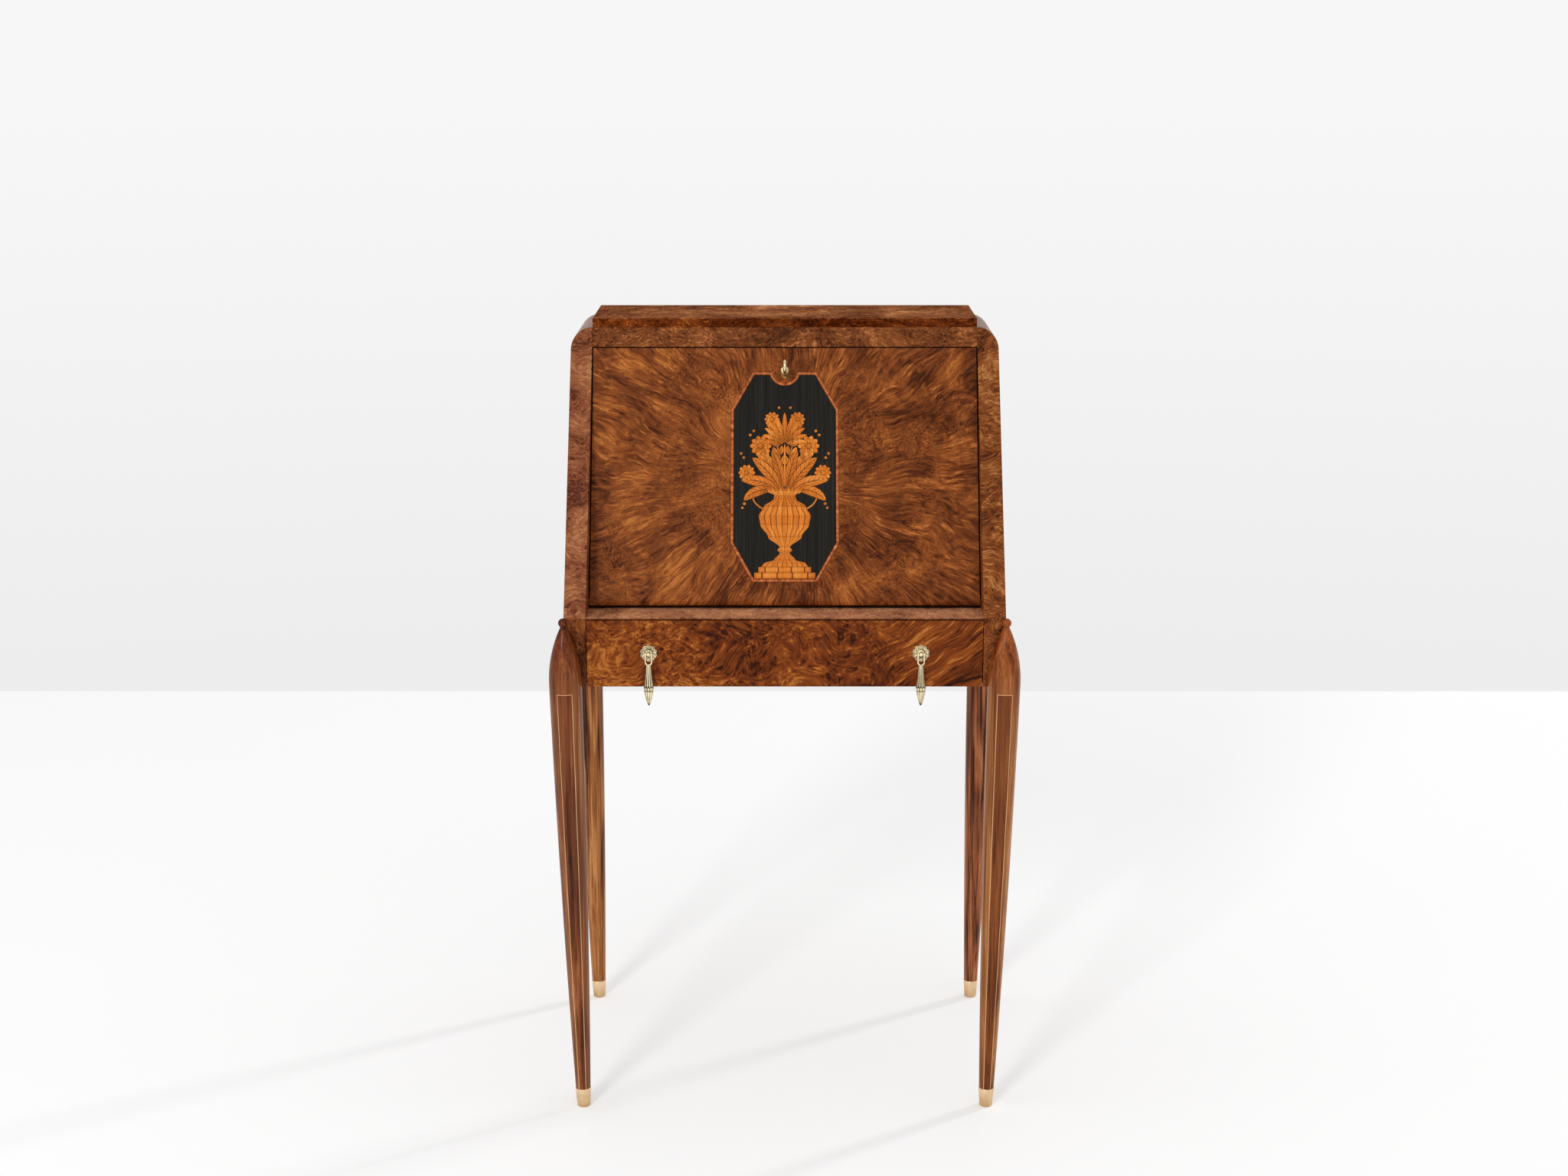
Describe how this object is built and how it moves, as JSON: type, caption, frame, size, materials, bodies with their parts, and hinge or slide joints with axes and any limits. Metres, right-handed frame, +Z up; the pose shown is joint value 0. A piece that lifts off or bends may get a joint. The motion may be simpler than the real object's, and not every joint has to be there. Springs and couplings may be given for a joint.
{
  "type": "slant-front escritoire",
  "caption": "Slant-front writing desk on turned legs with brass shoes: inlaid fall on pivot hinges, lock and key, drawer with drop pulls, inner gallery.",
  "frame": {"origin": "on the floor under the middle of the desk", "axes": "+Z up, front towards -Y, +X to the right as seen by the sitter"},
  "size_m": [0.66, 0.4496, 1.112],
  "materials": {
    "figured_walnut": "burr walnut veneer, French polished",
    "straight_walnut": "straight-grained walnut, polished",
    "pale_walnut": "pale walnut veneer, polished",
    "ebony": "ebonised veneer, polished",
    "crossbanding": "crossbanded veneer, polished",
    "inner_maple": "maple, satin",
    "drawer_beech": "beech, waxed",
    "carcass_wood": "plain softwood, stained",
    "leather": "smooth writing leather",
    "brass": "cast and turned brass, worn polish",
    "lock_steel": "filed steel"
  },
  "bodies": {
    "case": {"base_left_side": "figured_walnut", "base_right_side": "figured_walnut", "base_back": "carcass_wood", "base_floor": "carcass_wood", "writing_bed": "pale_walnut", "drawer_runners": "carcass_wood", "upper_left_side": "figured_walnut", "upper_right_side": "figured_walnut", "upper_rail": "figured_walnut", "fall_stop": "inner_maple", "sub_top": "inner_maple", "top_board": "figured_walnut", "back_panel": "carcass_wood", "front_left_leg": "straight_walnut", "front_right_leg": "straight_walnut", "rear_left_leg": "straight_walnut", "rear_right_leg": "straight_walnut", "front_left_sabot": "brass", "front_right_sabot": "brass", "rear_left_sabot": "brass", "rear_right_sabot": "brass", "leg_dowels": "carcass_wood", "gallery_shelf": "inner_maple", "left_divider": "inner_maple", "right_divider": "inner_maple", "left_drawer_shelf": "inner_maple", "right_drawer_shelf": "inner_maple", "left_hinge_plate": "brass", "right_hinge_plate": "brass", "strike_plate": "brass"},
    "fall": {"fall_panel": "figured_walnut", "inlay_field": "ebony", "inlay_banding": "crossbanding", "writing_leather": "leather", "lock_case": "brass", "escutcheon": "brass", "left_hinge_leaf": "brass", "right_hinge_leaf": "brass"},
    "key": {"key": "brass"},
    "lock_bolt": {"lock_bolt": "lock_steel"},
    "drawer": {"drawer_front": "figured_walnut", "drawer_left_side": "drawer_beech", "drawer_right_side": "drawer_beech", "drawer_back": "drawer_beech", "drawer_bottom": "drawer_beech", "left_rosette": "brass", "right_rosette": "brass", "left_boss": "brass", "right_boss": "brass", "pull_pins": "brass"},
    "left_pull": {"left_drop_pull": "brass"},
    "right_pull": {"right_drop_pull": "brass"},
    "left_inner_drawer": {"left_inner_drawer": "inner_maple", "left_inner_knob": "brass"},
    "right_inner_drawer": {"right_inner_drawer": "inner_maple", "right_inner_knob": "brass"}
  },
  "joints": [
    {"name": "fall_hinge", "type": "hinge", "parent": "case", "child": "fall", "pos_m": [0, -0.126, 0.7325], "axis": [1, 0, 0], "range_deg": [0, 113.61]},
    {"name": "key_turn", "type": "hinge", "parent": "fall", "child": "key", "pos_m": [0, 0.00572, 1.0339], "axis": [0, -0.9163, 0.4005], "range_deg": [0, 180]},
    {"name": "bolt_slide", "type": "slide", "parent": "fall", "child": "lock_bolt", "axis": [0, 0.4005, 0.9163], "range_m": [0, 0.007]},
    {"name": "drawer_slide", "type": "slide", "parent": "case", "child": "drawer", "axis": [0, -1, 0], "range_m": [0, 0.23]},
    {"name": "left_pull_swing", "type": "hinge", "parent": "drawer", "child": "left_pull", "pos_m": [-0.189, -0.2008, 0.673], "axis": [-1, 0, 0], "range_deg": [0, 95]},
    {"name": "right_pull_swing", "type": "hinge", "parent": "drawer", "child": "right_pull", "pos_m": [0.189, -0.2008, 0.673], "axis": [-1, 0, 0], "range_deg": [0, 95]},
    {"name": "left_inner_slide", "type": "slide", "parent": "case", "child": "left_inner_drawer", "axis": [0, -1, 0], "range_m": [0, 0.1]},
    {"name": "right_inner_slide", "type": "slide", "parent": "case", "child": "right_inner_drawer", "axis": [0, -1, 0], "range_m": [0, 0.1]}
  ],
  "couplings": [
    {"joint": "bolt_slide", "follows": "key_turn", "m_per_rad": 0.002228}
  ]
}
